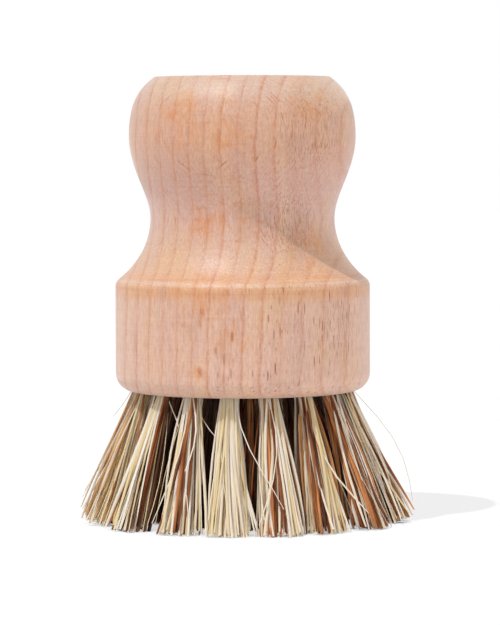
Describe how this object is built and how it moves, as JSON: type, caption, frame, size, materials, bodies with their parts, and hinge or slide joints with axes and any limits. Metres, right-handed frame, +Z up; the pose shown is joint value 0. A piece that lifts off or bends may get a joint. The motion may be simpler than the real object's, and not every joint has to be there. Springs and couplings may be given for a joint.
{
  "type": "dish brush",
  "caption": "Palm-held dish brush: a turned beech knob on a round base, with a flared brush of stapled plant-fibre tufts under it.",
  "frame": {"origin": "on the brush's axis, on the flat plane that the bristles are trimmed to and that the brush stands on", "axes": "+Z up along the turned block's axis, out of the knob's flat top; -Y is the side that the picture shows"},
  "size_m": [0.071, 0.0714, 0.0973],
  "materials": {
    "beech": "turned and sanded, unfinished",
    "union_fibre": "raw plant fibre, a mix of pale and brown strands",
    "staple_wire": "drawn wire"
  },
  "bodies": {
    "root": {"handle_block": "beech", "staple_inner_01": "staple_wire", "staple_inner_02": "staple_wire", "staple_inner_03": "staple_wire", "staple_middle_01": "staple_wire", "staple_middle_02": "staple_wire", "staple_middle_03": "staple_wire", "staple_middle_04": "staple_wire", "staple_middle_05": "staple_wire", "staple_middle_06": "staple_wire", "staple_middle_07": "staple_wire", "staple_middle_08": "staple_wire", "staple_middle_09": "staple_wire", "staple_outer_01": "staple_wire", "staple_outer_02": "staple_wire", "staple_outer_03": "staple_wire", "staple_outer_04": "staple_wire", "staple_outer_05": "staple_wire", "staple_outer_06": "staple_wire", "staple_outer_07": "staple_wire", "staple_outer_08": "staple_wire", "staple_outer_09": "staple_wire", "staple_outer_10": "staple_wire", "staple_outer_11": "staple_wire", "staple_outer_12": "staple_wire", "staple_outer_13": "staple_wire", "staple_outer_14": "staple_wire", "staple_outer_15": "staple_wire", "staple_outer_16": "staple_wire", "staple_outer_17": "staple_wire", "tuft_inner_01": "union_fibre", "tuft_inner_02": "union_fibre", "tuft_inner_03": "union_fibre", "tuft_middle_01": "union_fibre", "tuft_middle_02": "union_fibre", "tuft_middle_03": "union_fibre", "tuft_middle_04": "union_fibre", "tuft_middle_05": "union_fibre", "tuft_middle_06": "union_fibre", "tuft_middle_07": "union_fibre", "tuft_middle_08": "union_fibre", "tuft_middle_09": "union_fibre", "tuft_outer_01": "union_fibre", "tuft_outer_02": "union_fibre", "tuft_outer_03": "union_fibre", "tuft_outer_04": "union_fibre", "tuft_outer_05": "union_fibre", "tuft_outer_06": "union_fibre", "tuft_outer_07": "union_fibre", "tuft_outer_08": "union_fibre", "tuft_outer_09": "union_fibre", "tuft_outer_10": "union_fibre", "tuft_outer_11": "union_fibre", "tuft_outer_12": "union_fibre", "tuft_outer_13": "union_fibre", "tuft_outer_14": "union_fibre", "tuft_outer_15": "union_fibre", "tuft_outer_16": "union_fibre", "tuft_outer_17": "union_fibre"}
  },
  "joints": []
}
